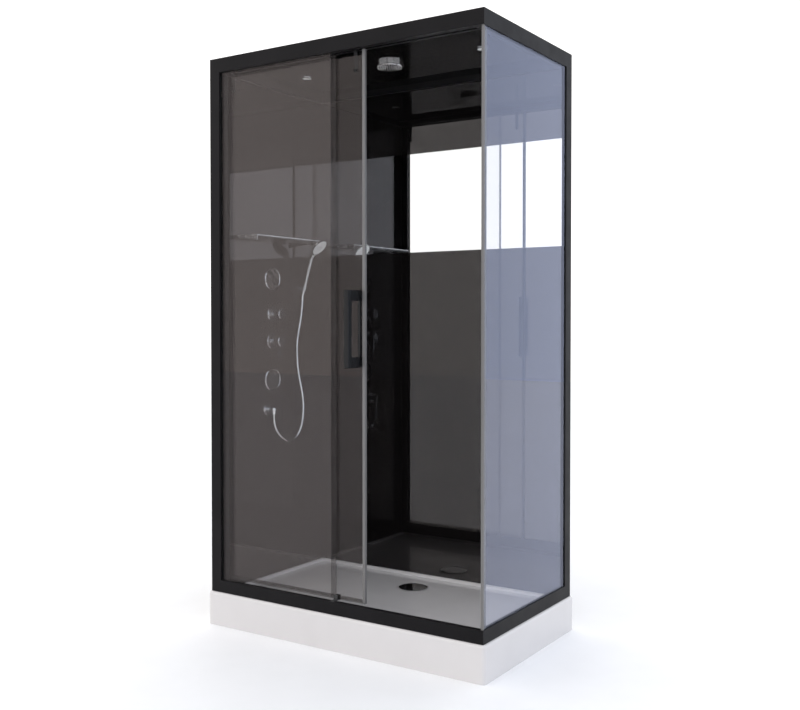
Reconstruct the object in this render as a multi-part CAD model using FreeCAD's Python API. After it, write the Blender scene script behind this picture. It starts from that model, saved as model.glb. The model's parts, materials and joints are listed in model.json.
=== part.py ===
import FreeCAD, Part
import math
import os

V = FreeCAD.Vector

# ---------------------------------------------------------------- overall sizes (mm)
# Origin: centre of the tray's footprint on the floor. X along the front, +Y to the back, +Z up.
tray_length = 1200.0
tray_width = 700.0
tray_height = 126.0
frame_length = 1180.0
frame_width = 682.0
cabin_height = 2150.0

# tray
tray_corner_radius = 14.0
tray_edge_radius = 8.5
tray_skin = 5.0
tray_floor_skin = 5.0
basin_depth = 12.0
basin_shoulder = 8.0
basin_corner_radius = 26.0
basin_edge_radius = 4.0

# tray support
beam_size = 25.0
beam_wall = 2.0
long_rail_length = 1100.0
long_rail_spread = 480.0
cross_bar_length = 600.0
cross_bar_places = (-480.0, -110.0, 480.0)
foot_stud_radius = 5.0
foot_pad_radius = 25.0
foot_pad_height = 14.0
foot_nut_radius = 9.0
foot_nut_height = 8.0

# drain
drain_x = 10.0
drain_y = 154.0
drain_cover_radius = 57.0
drain_cover_rise = 10.0
drain_cover_lift = 3.0
drain_flange_radius = 54.0
drain_flange_height = 3.0
drain_throat_radius = 40.0
drain_wall = 3.0
drain_stem_radius = 6.0
trap_radius = 46.0
trap_bottom = 22.0
outlet_pipe_radius = 20.0
outlet_pipe_reach = 70.0
outlet_pipe_height = 50.0
outlet_collar_radius = 23.0
outlet_collar_reach = 25.0
trap_cup_radius = 33.0
trap_cup_depth = 40.0
trap_cup_wall = 2.0
drain_cover_thickness = 2.0

# frame profiles
sill_height = 46.0
sill_depth = 18.0
rail_height = 53.0
front_rail_depth = 58.0
side_rail_depth = 30.0
post_face = 46.0
post_depth = 18.0
jamb_reach = 30.0
jamb_thickness = 3.0
profile_wall = 2.0
roof_ledge = 8.0
roof_ledge_height = 25.0
key_leg = 60.0
key_gap = 0.3
key_play = 2.0

# lining
wall_inset = 30.0
panel_thickness = 6.0
band_height = 400.0
lower_panel_height = 1267.0
roof_thickness = 6.0
panel_gap = 0.3
cutter_reach = 1.0
edge_tolerance = 0.001

# glass
glass_thickness = 6.0
gasket_thickness = 2.0
groove_depth = 8.0
fixed_pane_inset = 8.0
fixed_pane_width = 526.0
side_pane_inset = 4.0
side_pane_front = 6.0
pane_seal_width = 10.0
pane_seal_lip = 1.5

# sliding door
door_inset = 28.0
door_pane_width = 621.0
door_left = 75.0
door_top_gap = 19.0
door_bottom_gap = 8.0
door_profile_width = 8.0
door_profile_depth = 10.0
door_profile_grip = 6.0
door_profile_gap = 1.0
door_magnet_width = 3.0
door_closing_gap = 0.3
sweep_height = 13.0
sweep_depth = 10.0
sweep_grip = 9.0
rear_seal_width = 5.0
corner_profile_wall = 1.2
corner_profile_depth = 8.0
corner_profile_front = 2.0
corner_magnet_thickness = 3.0
corner_magnet_width = 10.0

# door hanging and guiding
track_width = 30.0
track_height = 20.0
track_slot = 12.0
track_first_wall = 18.0
roller_radius = 8.0
roller_width = 5.0
roller_rise = 0.3
roller_spread = 19.0
axle_radius = 3.0
axle_fit = 0.05
bolt_fit = 0.02
hanger_inset = 15.0
hanger_width = 14.0
hanger_arm = 4.0
hanger_arm_rise = 4.8
hanger_plate = 3.0
hanger_saddle = 9.0
hanger_grip = 58.0
hanger_cap_radius = 5.5
hanger_cap_height = 2.5
hanger_cap_drop = 50.0
hanger_bolt_radius = 3.0
stop_length = 12.0
door_overtravel = 20.0
stop_gap = 0.5
guide_width = 16.0
guide_base = 3.0
guide_cheek = 5.0
guide_height = 18.0
guide_gap = 0.5
guide_place = 2.0

# door handle
handle_height = 267.0
handle_bottom = 999.0
handle_grip_width = 20.0
handle_grip_depth = 22.0
handle_reach = 52.0
handle_arm_height = 37.0
handle_arm_thickness = 9.0
handle_plate_thickness = 4.0
handle_to_profile = 8.0
handle_screw_radius = 3.0
handle_edge_radius = 3.0

# shower fittings on the left wall
column_y = -20.0
upper_jet_z = 1330.0
lower_jet_z = 921.0
jet_bezel_radius = 48.0
jet_bezel_height = 6.0
jet_bezel_slope = 4.0
jet_ball_radius = 41.0
jet_seat_gap = 0.4
jet_face_rise = 4.0
jet_back_depth = 12.0
jet_housing_wall = 2.0
jet_housing_depth = 21.0
jet_nozzle_radius = 1.8
jet_nozzle_height = 1.5
jet_nozzle_rings = ((0.0, 1), (11.0, 6), (21.0, 12), (31.0, 18))
diverter_z = 1188.0
mixer_z = 1078.0
rosette_radius = 30.0
rosette_height = 5.0
mixer_rosette_radius = 33.0
outlet_rosette_radius = 25.0
spindle_radius = 13.0
knob_radius = 22.0
knob_start = 30.0
knob_length = 24.0
knob_bore_depth = 14.0
spindle_tip_radius = 7.0
knob_fit = 0.1
knob_groove_count = 12
knob_groove_radius = 3.0
knob_groove_offset = 1.5
knob_edge = 3.0
mixer_hub_radius = 24.0
mixer_hub_start = 26.0
mixer_hub_length = 28.0
mixer_bore_depth = 8.0
lever_pivot_out = 40.0
lever_pivot_drop = 12.0
lever_pin_radius = 2.0
lever_pin_share = 0.6
lever_eye_radius = 6.0
lever_back = 5.0
lever_slot_back = 8.0
lever_slot_drop = 4.0
lever_thickness = 8.0
lever_length = 55.0
lever_width = 9.0
valve_radius = 16.0
wall_space = 20.0

# hose outlet, hose and hand shower
outlet_y = -50.0
outlet_z = 802.0
outlet_reach = 33.0
outlet_drop = 18.0
outlet_tube_radius = 10.0
outlet_ball_radius = 12.5
outlet_nut_radius = 9.5
hose_radius = 6.0
hose_end_run = 19.5
hose_bend_share = 0.45
holder_reach = 25.0
holder_y = 157.0
holder_z = 1296.0
holder_tilt = 17.0
holder_ring_radius = 15.0
holder_ring_height = 24.0
holder_base_width = 50.0
holder_base_height = 16.0
holder_base_depth = 12.0
holder_neck_width = 16.0
holder_neck_height = 14.0
cone_low_radius = 8.5
cone_high_radius = 10.5
cone_gap = 0.3
handset_nut_drop = 14.0
handset_handle_length = 118.0
handset_handle_radius = 9.0
handset_neck_radius = 10.5
handset_neck_taper = 0.95
handset_joint_swell = 0.6
handset_collar_step = 1.5
handset_collar_height = 3.0
handset_head_radius = 41.0
handset_head_thickness = 13.0
handset_head_place = 183.0
handset_head_out = 29.0
handset_head_tilt = 25.0
handset_turn = 3.0
handset_face_radius = 35.0
handset_face_thickness = 2.5
handset_back_share = 0.55
handset_rim_share = 0.3
handset_nozzle_radius = 1.4
handset_nozzle_height = 1.0
handset_nozzle_rings = ((9.0, 6), (18.0, 12), (27.0, 18))

# shelf
shelf_start = -220.0
shelf_length = 425.0
shelf_depth = 100.0
shelf_thickness = 7.0
shelf_z = 1485.0
shelf_end_thickness = 4.0
shelf_end_root = 1.0
shelf_end_drop = 13.0
shelf_end_rise = 1.5
shelf_rail_thickness = 2.0
shelf_rail_height = 4.0

# ceiling
rain_head_x = 8.0
rain_head_y = -8.0
rain_head_radius = 53.0
rain_head_thickness = 13.0
rain_head_edge = 1.5
rain_neck_radius = 9.0
rain_neck_grip = 8.0
rain_nozzle_radius = 1.6
rain_nozzle_height = 3.0
rain_nozzle_rings = ((9.0, 6), (18.0, 12), (27.0, 18), (36.0, 24), (45.0, 30))
light_spread = 790.0
light_x = 8.0
light_radius = 25.0
light_rim = 5.0
light_wall = 2.0
light_drop = 3.0
light_body_height = 14.0

# pipes behind the left wall
riser_radius = 7.0
riser_offset = 12.0
riser_spread = 55.0
inlet_spacing = 60.0
inlet_radius = 7.5
inlet_length = 34.0
inlet_z = 1005.0

# ---------------------------------------------------------------- derived places
frame_left = -frame_length / 2
frame_right = frame_length / 2
frame_front = -frame_width / 2
frame_back = frame_width / 2
sill_top = tray_height + sill_height
rail_bottom = cabin_height - rail_height
roof_underside = rail_bottom + roof_ledge_height
wall_x = frame_left + wall_inset
wall_y = frame_back - wall_inset
basin_floor = tray_height - basin_depth
deck_underside = basin_floor - tray_floor_skin
glass_bottom = sill_top - groove_depth + gasket_thickness
glass_top = rail_bottom + groove_depth - gasket_thickness
holder_x = wall_x + holder_reach

parts = {}


# ---------------------------------------------------------------- shape helpers
def block(x0, x1, y0, y1, z0, z1):
    """Box between two corners, in any order."""
    low = V(min(x0, x1), min(y0, y1), min(z0, z1))
    return Part.makeBox(abs(x1 - x0), abs(y1 - y0), abs(z1 - z0), low)


def rod(start, direction, radius, length):
    return Part.makeCylinder(radius, length, V(*start), V(*direction))


def fused(shapes):
    """One clean solid from shapes that touch."""
    whole = shapes[0]
    if len(shapes) > 1:
        whole = whole.fuse(shapes[1:])
    return whole.removeSplitter()


def revolved(profile, centre, axis):
    """Turn (radius, height) points about an axis through centre."""
    points = [V(radius, 0, height) for radius, height in profile]
    face = Part.Face(Part.makePolygon(points + [points[0]]))
    solid = face.revolve(V(0, 0, 0), V(0, 0, 1), 360)
    turn = FreeCAD.Rotation(V(0, 0, 1), V(*axis))
    solid.Placement = FreeCAD.Placement(V(*centre), turn)
    return solid


def upright_edges(solid):
    return [edge for edge in solid.Edges
            if abs(edge.Vertexes[0].X - edge.Vertexes[-1].X) < edge_tolerance
            and abs(edge.Vertexes[0].Y - edge.Vertexes[-1].Y) < edge_tolerance
            and edge.Length > 1]


def rounded_slab(x0, x1, y0, y1, z0, z1, radius):
    slab = block(x0, x1, y0, y1, z0, z1)
    return slab.makeFillet(radius, upright_edges(slab))


def edges_at_height(solid, height):
    return [edge for edge in solid.Edges
            if abs(edge.BoundBox.ZMin - height) < edge_tolerance
            and abs(edge.BoundBox.ZMax - height) < edge_tolerance]


def keep(name, shapes):
    """Name one node. Several solids in a list stay separate."""
    if not isinstance(shapes, list):
        shapes = [shapes]
    solids = [solid for shape in shapes for solid in shape.Solids]
    parts[name] = solids[0] if len(solids) == 1 else Part.makeCompound(solids)


# ---------------------------------------------------------------- tray
def tray_shell():
    half_x = tray_length / 2
    half_y = tray_width / 2
    body = rounded_slab(-half_x, half_x, -half_y, half_y, 0, tray_height, tray_corner_radius)
    body = body.makeFillet(tray_edge_radius, edges_at_height(body, tray_height))
    under_radius = tray_corner_radius - tray_skin
    under = rounded_slab(-half_x + tray_skin, half_x - tray_skin, -half_y + tray_skin, half_y - tray_skin,
                         0, deck_underside, under_radius)
    basin = rounded_slab(wall_x + basin_shoulder, frame_right - sill_depth - basin_shoulder,
                         frame_front + sill_depth + basin_shoulder, wall_y - basin_shoulder,
                         basin_floor, tray_height, basin_corner_radius)
    basin = basin.makeFillet(basin_edge_radius, edges_at_height(basin, basin_floor))
    throat = rod((drain_x, drain_y, deck_underside), (0, 0, 1), drain_throat_radius + drain_wall,
                 tray_floor_skin)
    recess_radius = drain_flange_radius + panel_gap
    recess = rod((drain_x, drain_y, basin_floor - drain_flange_height), (0, 0, 1), recess_radius,
                 drain_flange_height)
    keep("tray_shell", body.cut([under, basin, throat, recess]))


def tray_support():
    rail_top = deck_underside
    bar_top = rail_top - beam_size
    rails = []
    bars = []
    for side in (-1, 1):
        y = side * long_rail_spread / 2
        outer = block(-long_rail_length / 2, long_rail_length / 2, y - beam_size / 2, y + beam_size / 2,
                      bar_top, rail_top)
        inner = block(-long_rail_length / 2, long_rail_length / 2, y - beam_size / 2 + beam_wall,
                      y + beam_size / 2 - beam_wall, bar_top + beam_wall, rail_top - beam_wall)
        rails.append(outer.cut(inner))
    feet = []
    bar_bottom = bar_top - beam_size
    for x in cross_bar_places:
        outer = block(x - beam_size / 2, x + beam_size / 2, -cross_bar_length / 2, cross_bar_length / 2,
                      bar_bottom, bar_top)
        inner = block(x - beam_size / 2 + beam_wall, x + beam_size / 2 - beam_wall, -cross_bar_length / 2,
                      cross_bar_length / 2, bar_bottom + beam_wall, bar_top - beam_wall)
        bars.append(outer.cut(inner))
        for side in (-1, 1):
            y = side * long_rail_spread / 2
            nut_low = bar_bottom - foot_nut_height
            profile = [(0, 0), (foot_pad_radius, 0), (foot_pad_radius, foot_pad_height / 2),
                       (foot_stud_radius * 2, foot_pad_height), (foot_stud_radius, foot_pad_height),
                       (foot_stud_radius, nut_low), (foot_nut_radius, nut_low),
                       (foot_nut_radius, bar_bottom), (0, bar_bottom)]
            feet.append(revolved(profile, (x, y, 0), (0, 0, 1)))
    keep("tray_long_rails", rails)
    keep("tray_cross_bars", bars)
    keep("adjustable_feet", feet)


def drain():
    centre = (drain_x, drain_y)
    flange_low = basin_floor - drain_flange_height
    inner = drain_throat_radius
    outer = inner + drain_wall - panel_gap
    profile = [(inner, trap_bottom + drain_wall), (inner, basin_floor), (drain_flange_radius, basin_floor),
               (drain_flange_radius, flange_low), (outer, flange_low), (outer, deck_underside),
               (trap_radius, deck_underside), (trap_radius, trap_bottom), (0, trap_bottom),
               (0, trap_bottom + drain_wall)]
    body = revolved(profile, (drain_x, drain_y, 0), (0, 0, 1))
    root = inner + cutter_reach
    start = (drain_x, drain_y + root, outlet_pipe_height)
    spigot = rod(start, (0, 1, 0), outlet_pipe_radius, trap_radius + outlet_pipe_reach - root)
    collar = rod(start, (0, 1, 0), outlet_collar_radius, trap_radius + outlet_collar_reach - root)
    bore_start = (drain_x, drain_y + inner - drain_wall, outlet_pipe_height)
    bore = rod(bore_start, (0, 1, 0), outlet_pipe_radius - drain_wall,
               trap_radius + outlet_pipe_reach - inner + drain_wall)
    keep("waste_body", fused([body, collar, spigot]).cut(bore))

    # removable cup: hangs by its lip on the throat's edge, a cross bar carries the cover's stem
    lip_low = basin_floor
    cup = revolved([(trap_cup_radius, lip_low - trap_cup_depth), (trap_cup_radius, lip_low),
                    (inner + drain_wall, lip_low), (inner + drain_wall, lip_low + trap_cup_wall),
                    (trap_cup_radius - trap_cup_wall, lip_low + trap_cup_wall),
                    (trap_cup_radius - trap_cup_wall, lip_low - trap_cup_depth)],
                   (drain_x, drain_y, 0), (0, 0, 1))
    bar_z = lip_low - trap_cup_depth
    bar = block(drain_x - trap_cup_radius, drain_x + trap_cup_radius, drain_y - drain_stem_radius,
                drain_y + drain_stem_radius, bar_z, bar_z + drain_wall)
    socket_outer = drain_stem_radius + knob_fit + trap_cup_wall
    post = rod(centre + (bar_z,), (0, 0, 1), socket_outer, trap_cup_depth / 2)
    socket = rod(centre + (bar_z + drain_wall,), (0, 0, 1), drain_stem_radius + knob_fit, trap_cup_depth)
    keep("trap_cup", fused([cup, bar, post]).cut(socket))

    rim = basin_floor + drain_cover_lift
    cap_radius = (drain_cover_radius ** 2 + drain_cover_rise ** 2) / (2 * drain_cover_rise)
    middle = V(drain_x, drain_y, rim + drain_cover_rise - cap_radius)
    ball = Part.makeSphere(cap_radius, middle)
    inside = Part.makeSphere(cap_radius - drain_cover_thickness, middle)
    column = rod(centre + (rim,), (0, 0, 1), drain_cover_radius, drain_cover_rise + cutter_reach)
    dome = ball.common(column).cut(inside)
    stem_low = bar_z + drain_wall
    stem = rod(centre + (stem_low,), (0, 0, 1), drain_stem_radius,
               rim + drain_cover_rise - drain_cover_thickness / 2 - stem_low)
    keep("drain_cover", fused([dome, stem]))


# ---------------------------------------------------------------- frame profiles
def ring_corners(inset_left, inset_right, inset_front, inset_back):
    left = frame_left + inset_left
    right = frame_right - inset_right
    front = frame_front + inset_front
    back = frame_back - inset_back
    return {"front": [(left, front), (right, front)], "right": [(right, front), (right, back)],
            "back": [(right, back), (left, back)], "left": [(left, back), (left, front)]}


def mitred(side, outer_insets, inner_insets, z0, z1):
    """Straight bar of one side of the frame, cut along the lines between outer and inner corners."""
    outer = ring_corners(*outer_insets)[side]
    inner = ring_corners(*inner_insets)[side]
    points = [V(x, y, z0) for x, y in (outer[0], outer[1], inner[1], inner[0])]
    face = Part.Face(Part.makePolygon(points + [points[0]]))
    return face.extrude(V(0, 0, z1 - z0))


def hollow(side, depths, z0, z1):
    """Straight hollow inside a bar, open where the bar meets its neighbours."""
    depth = dict(zip(("left", "right", "front", "back"), depths))[side]
    x0, x1 = frame_left + profile_wall, frame_right - profile_wall
    y0, y1 = frame_front + profile_wall, frame_back - profile_wall
    if side == "front":
        y1 = frame_front + depth - profile_wall
    if side == "back":
        y0 = frame_back - depth + profile_wall
    if side == "left":
        x1 = frame_left + depth - profile_wall
    if side == "right":
        x0 = frame_right - depth + profile_wall
    return block(x0, x1, y0, y1, z0, z1)


# depths of the left, right, front and back bar
sill_insets = (wall_inset, sill_depth, sill_depth, wall_inset)
rail_insets = (wall_inset + roof_ledge, side_rail_depth + roof_ledge, front_rail_depth,
               wall_inset + roof_ledge)
tall_insets = tuple(depth - roof_ledge for depth in rail_insets)
no_inset = (0.0, 0.0, 0.0, 0.0)


def pane_grooves(z0, z1):
    """Grooves for the fixed pane along the front and for the side pane along the right."""
    width = glass_thickness + 2 * gasket_thickness
    y = frame_front + fixed_pane_inset - gasket_thickness
    x = frame_right - side_pane_inset + gasket_thickness
    front = block(frame_left + post_face - groove_depth, frame_left + fixed_pane_right(), y, y + width,
                  z0, z1)
    right = block(x - width, x, frame_front + side_pane_front, frame_back - post_face + groove_depth,
                  z0, z1)
    return [front, right]


def sills():
    grooves = pane_grooves(sill_top - groove_depth, sill_top)
    for side in ("front", "right", "back", "left"):
        bar = mitred(side, no_inset, sill_insets, tray_height, sill_top)
        cell = hollow(side, sill_insets, tray_height + profile_wall, sill_top - groove_depth - profile_wall)
        keep("sill_" + side, bar.cut([cell] + grooves))


def fixed_pane_right():
    """Distance of the fixed pane's free edge from the frame's left face."""
    return post_face - groove_depth + gasket_thickness + fixed_pane_width


def top_rails():
    grooves = pane_grooves(rail_bottom, rail_bottom + groove_depth)
    for side in ("front", "right", "back", "left"):
        ledge_low = rail_bottom
        cell_low = rail_bottom + groove_depth + profile_wall
        if side == "front":
            ledge_low = rail_bottom + track_height + profile_wall
            cell_low = ledge_low + profile_wall
        tall = mitred(side, no_inset, tall_insets, rail_bottom, cabin_height)
        ledge = mitred(side, tall_insets, rail_insets, ledge_low, roof_underside)
        cell = hollow(side, tall_insets, cell_low, cabin_height - profile_wall)
        cuts = [cell] + grooves
        if side == "front":
            cuts += roller_track()
        if side == "left":
            cuts += riser_holes()
        keep("top_rail_" + side, fused([tall, ledge]).cut(cuts))


def riser_holes():
    """Where the riser comes up through the left rail and turns in over the roof."""
    x = riser_x()
    y = column_y + riser_spread
    radius = riser_radius + panel_gap
    up = rod((x, y, rail_bottom - cutter_reach), (0, 0, 1), radius,
             roof_pipe_height() - rail_bottom + cutter_reach)
    across = rod((x, y, roof_pipe_height()), (1, 0, 0), radius, wall_inset + roof_ledge)
    return [up, across]


def roller_track():
    """Hollow that the rollers run in, and the slot below it for the hangers."""
    track_left, track_right = track_ends()
    track_front = frame_front + track_first_wall
    track = block(track_left, track_right, track_front, track_front + track_width,
                  rail_bottom + profile_wall, rail_bottom + track_height)
    slot_y = door_middle()
    slot = block(track_left, track_right, slot_y - track_slot / 2, slot_y + track_slot / 2,
                 rail_bottom, rail_bottom + profile_wall)
    return [track, slot]


def track_ends():
    """X of both ends of the roller track: one stop block beyond the rollers' furthest places."""
    spare = roller_radius + stop_gap + stop_length
    left = hanger_places()[0] - door_overtravel - spare
    right = hanger_places()[1] + door_travel() + spare
    return left, right


def posts():
    low = sill_top
    high = rail_bottom
    grooves = pane_grooves(low, high)
    corner = block(frame_left, frame_left + post_face, frame_front, frame_front + post_depth, low, high)
    cell = block(frame_left + profile_wall, frame_left + post_face - groove_depth - profile_wall,
                 frame_front + profile_wall, frame_front + post_depth - profile_wall, low, high)
    jamb_front = frame_front + fixed_pane_inset + glass_thickness + gasket_thickness
    jamb = block(frame_left + post_face - groove_depth, frame_left + post_face + jamb_reach, jamb_front,
                 jamb_front + jamb_thickness, low, high)
    keep("post_front_left", fused([corner.cut([cell] + grooves), jamb]))

    post = block(frame_right - post_depth, frame_right, frame_back - post_face, frame_back, low, high)
    cell = block(frame_right - post_depth + profile_wall, frame_right - profile_wall,
                 frame_back - post_face + groove_depth + profile_wall, frame_back - profile_wall, low, high)
    keep("post_back_right", post.cut([cell] + grooves))

    reach = wall_inset - panel_thickness
    post = block(frame_left, frame_left + reach, frame_back - reach, frame_back, low, high)
    cell = block(frame_left + profile_wall, frame_left + reach - profile_wall,
                 frame_back - reach + profile_wall, frame_back - profile_wall, low, high)
    keep("post_back_left", post.cut(cell))


def corner_keys():
    """Cast angle in each mitred corner, seated on the floor of the profile's hollow."""
    def angle(x, y, dx, dy, reach_x, reach_y, z0, z1):
        along = block(x, x + dx * key_leg, y, y + dy * reach_y, z0, z1)
        across = block(x, x + dx * reach_x, y, y + dy * key_leg, z0, z1)
        return fused([along, across])

    margin = profile_wall + key_gap
    spare = 2 * margin + key_play
    keys = []
    for x_side, y_side in ((-1, -1), (1, -1), (1, 1), (-1, 1)):
        x = x_side * (frame_length / 2 - margin)
        y = y_side * (frame_width / 2 - margin)
        across_x = sill_insets[0] if x_side < 0 else sill_insets[1]
        across_y = sill_insets[2] if y_side < 0 else sill_insets[3]
        low = tray_height + profile_wall
        high = sill_top - groove_depth - profile_wall - key_gap
        keys.append(angle(x, y, -x_side, -y_side, across_x - spare, across_y - spare, low, high))
        across_x = tall_insets[0] if x_side < 0 else tall_insets[1]
        across_y = tall_insets[2] if y_side < 0 else tall_insets[3]
        low = rail_bottom + track_height + 2 * profile_wall
        if y_side > 0:
            low = rail_bottom + groove_depth + profile_wall
        high = cabin_height - profile_wall - key_gap
        keys.append(angle(x, y, -x_side, -y_side, across_x - spare, across_y - spare, low, high))
    keep("corner_keys", keys)


# ---------------------------------------------------------------- lining
def back_wall():
    x0 = wall_x
    x1 = frame_right - post_depth
    y1 = wall_y + panel_thickness
    band_low = sill_top + lower_panel_height
    band_high = band_low + band_height
    keep("back_panel_lower", block(x0, x1, wall_y, y1, sill_top, band_low))
    keep("mirror_band", block(x0, x1, wall_y, y1, band_low, band_high))
    keep("back_panel_upper", block(x0, x1, wall_y, y1, band_high, rail_bottom))


def left_wall():
    panel = block(wall_x - panel_thickness, wall_x, frame_front + post_depth, wall_y + panel_thickness,
                  sill_top, rail_bottom)
    holes = []
    for z in (upper_jet_z, lower_jet_z):
        holes.append(wall_hole(column_y, z, jet_hole_radius()))
    for z in (diverter_z, mixer_z):
        holes.append(wall_hole(column_y, z, valve_radius + panel_gap))
    holes.append(wall_hole(outlet_y, outlet_z, outlet_tube_radius + panel_gap))
    keep("left_wall_panel", panel.cut(holes))


def jet_hole_radius():
    return jet_ball_radius + jet_seat_gap + jet_housing_wall + panel_gap


def wall_hole(y, z, radius):
    start = (wall_x - panel_thickness - cutter_reach, y, z)
    return rod(start, (1, 0, 0), radius, panel_thickness + 2 * cutter_reach)


def roof():
    gap = panel_gap
    corners = [inset - roof_ledge + gap for inset in rail_insets]
    sheet = block(frame_left + corners[0], frame_right - corners[1], frame_front + corners[2],
                  frame_back - corners[3], roof_underside, roof_underside + roof_thickness)
    low = roof_underside - cutter_reach
    depth = roof_thickness + 2 * cutter_reach
    holes = [rod((rain_head_x, rain_head_y, low), (0, 0, 1), rain_neck_radius + gap, depth)]
    for x in light_places():
        holes.append(rod((x, rain_head_y, low), (0, 0, 1), light_radius - light_rim + gap, depth))
    keep("roof_panel", sheet.cut(holes))


# ---------------------------------------------------------------- fixed glass
def channel(x0, x1, y0, y1, z0, z1, pane):
    """Gasket: the groove's space without the glass in it."""
    return block(x0, x1, y0, y1, z0, z1).cut(pane)


def fixed_pane():
    left = frame_left + post_face - groove_depth + gasket_thickness
    right = frame_left + fixed_pane_right()
    y0 = frame_front + fixed_pane_inset
    y1 = y0 + glass_thickness
    pane = block(left, right, y0, y1, glass_bottom, glass_top)
    keep("fixed_pane", pane)
    low = sill_top - groove_depth
    high = rail_bottom + groove_depth
    start = left - gasket_thickness
    g0 = y0 - gasket_thickness
    g1 = y1 + gasket_thickness
    pieces = [channel(start, start + groove_depth, g0, g1, low, high, pane),
              channel(start, right, g0, g1, low, low + groove_depth, pane),
              channel(start, right, g0, g1, high - groove_depth, high, pane)]
    gasket = fused(pieces)

    # clear fin on the free edge, bent back towards the door
    fin_low = sill_top + guide_height + guide_gap
    fin_high = rail_bottom - guide_gap
    fin_back = frame_front + door_inset - guide_gap
    grip = block(right, right + pane_seal_lip, y0, fin_back, fin_low, fin_high)
    blade = block(right, right + pane_seal_width, fin_back - pane_seal_lip, fin_back, fin_low, fin_high)
    keep("fixed_pane_seal", fused([grip, blade]))
    return gasket


def side_pane():
    x1 = frame_right - side_pane_inset
    x0 = x1 - glass_thickness
    y0 = frame_front + side_pane_front
    y1 = frame_back - post_face + groove_depth - gasket_thickness
    pane = block(x0, x1, y0, y1, glass_bottom, glass_top)
    keep("side_pane", pane)
    low = sill_top - groove_depth
    high = rail_bottom + groove_depth
    g0 = x0 - gasket_thickness
    g1 = x1 + gasket_thickness
    end = y1 + gasket_thickness
    pieces = [channel(g0, g1, end - groove_depth, end, low, high, pane),
              channel(g0, g1, y0, end, low, low + groove_depth, pane),
              channel(g0, g1, y0, end, high - groove_depth, high, pane)]
    gasket = fused(pieces)

    # slim profile over the pane's front edge, and the magnet strip that the door closes on
    front = y0 - corner_profile_front
    outer = block(x0 - corner_profile_wall, x1 + corner_profile_wall, front, front + corner_profile_depth,
                  sill_top, rail_bottom)
    middle = door_middle()
    magnet = block(corner_magnet_face(), x0, middle - corner_magnet_width / 2,
                   middle + corner_magnet_width / 2, sill_top, rail_bottom)
    keep("corner_seal", [outer.cut(pane), magnet])
    return gasket


def corner_magnet_face():
    return frame_right - side_pane_inset - glass_thickness - corner_magnet_thickness


# ---------------------------------------------------------------- sliding door
def door_middle():
    return frame_front + door_inset + glass_thickness / 2


def door_edges():
    left = frame_left + door_left
    return left, left + door_pane_width


def door_travel():
    """From the place in the photograph to closed against the corner magnet."""
    leading = door_edges()[1] - door_profile_grip + door_profile_width + door_magnet_width
    return corner_magnet_face() - door_closing_gap - leading


def hanger_places():
    left, right = door_edges()
    return left + hanger_inset, right - door_profile_grip - hanger_inset - hanger_inset


def handle_x():
    """Right-hand face of the handle."""
    return door_edges()[1] - door_profile_grip - handle_to_profile


def door_glass():
    left, right = door_edges()
    y0 = frame_front + door_inset
    y1 = y0 + glass_thickness
    z0 = sill_top + door_bottom_gap
    z1 = rail_bottom - door_top_gap
    pane = block(left, right, y0, y1, z0, z1)
    holes = []
    for x in hanger_places():
        holes.append(rod((x, y0 - cutter_reach, z1 - hanger_cap_drop), (0, 1, 0),
                         hanger_bolt_radius + panel_gap, glass_thickness + 2 * cutter_reach))
    for z in handle_screw_heights():
        holes.append(rod((handle_x() - handle_arm_thickness / 2, y0 - cutter_reach, z), (0, 1, 0),
                         handle_screw_radius + panel_gap, glass_thickness + 2 * cutter_reach))
    keep("door_pane", pane.cut(holes))

    profile_left = right - door_profile_grip
    middle = door_middle()
    high = rail_bottom - door_profile_gap
    low = sill_top + door_bottom_gap - (sweep_height - sweep_grip)
    profile = block(profile_left, profile_left + door_profile_width, middle - door_profile_depth / 2,
                    middle + door_profile_depth / 2, low, high)
    magnet_left = profile_left + door_profile_width
    magnet = block(magnet_left, magnet_left + door_magnet_width, middle - door_profile_depth / 2,
                   middle + door_profile_depth / 2, low, high)
    keep("door_edge_profile", [profile.cut(pane), magnet])

    sweep = block(left, profile_left, middle - sweep_depth / 2, middle + sweep_depth / 2, low,
                  low + sweep_height)
    keep("door_seals", [sweep.cut(pane), block(left - rear_seal_width, left, y0, y1, low, z1)])


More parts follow.
